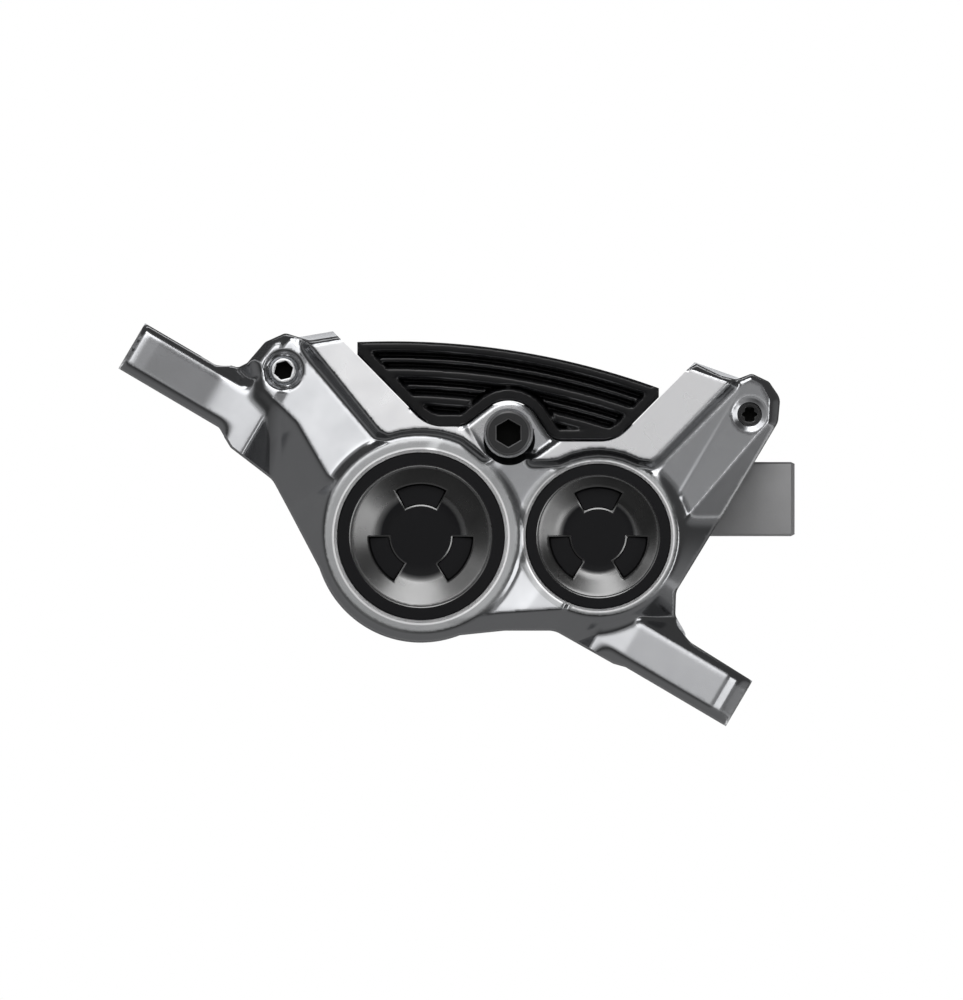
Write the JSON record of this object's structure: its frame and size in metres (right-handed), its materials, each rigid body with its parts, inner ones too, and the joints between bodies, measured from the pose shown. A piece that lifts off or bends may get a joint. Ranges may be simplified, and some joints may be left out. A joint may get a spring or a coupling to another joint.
{
  "type": "bicycle disc brake caliper",
  "caption": "Post-mount hydraulic disc brake caliper with opposed pistons, black bore caps, finned brake pads between two arms and a square hose port block.",
  "frame": {"origin": "on the mount face of the two ears, midway between the two mounting bolts", "axes": "+X along the ears from bolt to bolt, +Z square to the mount face and away from the wheel's hub, +Y from the capped outer side towards the wheel"},
  "size_m": [0.094, 0.0464, 0.0555],
  "materials": {
    "body_silver": "polished and clear anodised",
    "cap_black": "satin black anodised",
    "rubber_black": "matte",
    "piston_ceramic": "ground ceramic",
    "plate_steel": "plain steel",
    "friction": "rough sintered metal",
    "radiator_black": "satin black",
    "spring_steel": "stainless",
    "axle_black": "black oxide",
    "screw_steel": "bright",
    "plug_black": "black oxide",
    "port_grey": "matte machined"
  },
  "bodies": {
    "caliper": {"caliper_body": "body_silver", "large_bore_cap": "cap_black", "small_bore_cap": "cap_black", "large_cap_oring": "rubber_black", "small_cap_oring": "rubber_black", "outer_large_seal": "rubber_black", "outer_small_seal": "rubber_black", "inner_large_seal": "rubber_black", "inner_small_seal": "rubber_black", "pad_return_spring": "spring_steel", "pad_axle": "axle_black", "pad_axle_clip": "spring_steel", "passage_plug_screw": "plug_black", "plug_screw_oring": "rubber_black", "hose_port_block": "port_grey", "hose_port_oring": "rubber_black"},
    "outer_pad": {"outer_pad_plate": "plate_steel", "outer_pad_friction": "friction", "outer_pad_radiator": "radiator_black"},
    "inner_pad": {"inner_pad_plate": "plate_steel", "inner_pad_friction": "friction", "inner_pad_radiator": "radiator_black"},
    "outer_large_piston": {"outer_large_piston": "piston_ceramic"},
    "outer_small_piston": {"outer_small_piston": "piston_ceramic"},
    "inner_large_piston": {"inner_large_piston": "piston_ceramic"},
    "inner_small_piston": {"inner_small_piston": "piston_ceramic"},
    "bleed_screw": {"bleed_screw": "screw_steel", "bleed_screw_oring": "rubber_black"}
  },
  "joints": [
    {"name": "outer_pad_slide", "type": "slide", "parent": "caliper", "child": "outer_pad", "axis": [0, 1, 0], "range_m": [0, 0.0012], "deforming": ["pad_return_spring"]},
    {"name": "inner_pad_slide", "type": "slide", "parent": "caliper", "child": "inner_pad", "axis": [0, -1, 0], "range_m": [0, 0.0012]},
    {"name": "outer_large_piston_slide", "type": "slide", "parent": "caliper", "child": "outer_large_piston", "axis": [0, 1, 0], "range_m": [0, 0.0012]},
    {"name": "outer_small_piston_slide", "type": "slide", "parent": "caliper", "child": "outer_small_piston", "axis": [0, 1, 0], "range_m": [0, 0.0012]},
    {"name": "inner_large_piston_slide", "type": "slide", "parent": "caliper", "child": "inner_large_piston", "axis": [0, -1, 0], "range_m": [0, 0.0012]},
    {"name": "inner_small_piston_slide", "type": "slide", "parent": "caliper", "child": "inner_small_piston", "axis": [0, -1, 0], "range_m": [0, 0.0012]},
    {"name": "bleed_screw_turn", "type": "hinge", "parent": "caliper", "child": "bleed_screw", "pos_m": [-0.0279, 0, 0.01094], "axis": [0, -1, 0], "range_deg": [0, 90]}
  ],
  "couplings": [
    {"joint": "inner_pad_slide", "follows": "outer_pad_slide", "ratio": 1},
    {"joint": "outer_large_piston_slide", "follows": "outer_pad_slide", "ratio": 1},
    {"joint": "outer_small_piston_slide", "follows": "outer_pad_slide", "ratio": 1},
    {"joint": "inner_large_piston_slide", "follows": "outer_pad_slide", "ratio": 1},
    {"joint": "inner_small_piston_slide", "follows": "outer_pad_slide", "ratio": 1}
  ]
}
